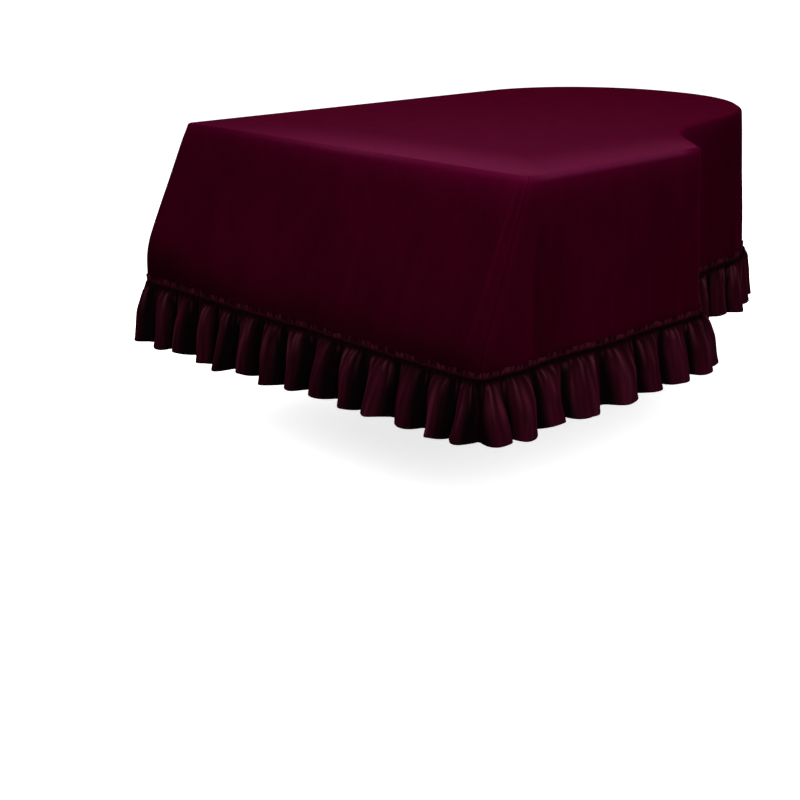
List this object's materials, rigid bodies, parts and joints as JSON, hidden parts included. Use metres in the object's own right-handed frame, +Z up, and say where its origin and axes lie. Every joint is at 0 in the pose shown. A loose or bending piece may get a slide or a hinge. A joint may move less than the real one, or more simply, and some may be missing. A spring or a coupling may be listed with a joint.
{
  "type": "fitted grand piano cover",
  "caption": "Hollow fitted cover of burgundy velvet for a grand piano: a flat top cut to the lid, hanging skirts and a gathered flounce along the lower edge.",
  "frame": {"origin": "on the underside of the top panel, at the middle of the lid's width and length, where the closed lid holds the cover up", "axes": "+X along the keyboard to the treble side, +Y from the keyboard to the tail, +Z up"},
  "size_m": [1.7184, 2.3485, 0.6973],
  "materials": {
    "velvet_top": "burgundy cotton velvet, pile brushed flat and bright at a glancing angle",
    "velvet_skirt": "burgundy cotton velvet, hanging, dark face on",
    "velvet_flounce": "burgundy cotton velvet, gathered, bright along the folds and near black between them"
  },
  "bodies": {
    "root": {"top_panel": "velvet_top", "skirt_front": "velvet_skirt", "skirt_cheek": "velvet_skirt", "skirt_bentside": "velvet_skirt", "skirt_tail": "velvet_skirt", "skirt_spine": "velvet_skirt", "flounce_front": "velvet_flounce", "flounce_cheek": "velvet_flounce", "flounce_bentside": "velvet_flounce", "flounce_tail": "velvet_flounce", "flounce_spine": "velvet_flounce"}
  },
  "joints": []
}
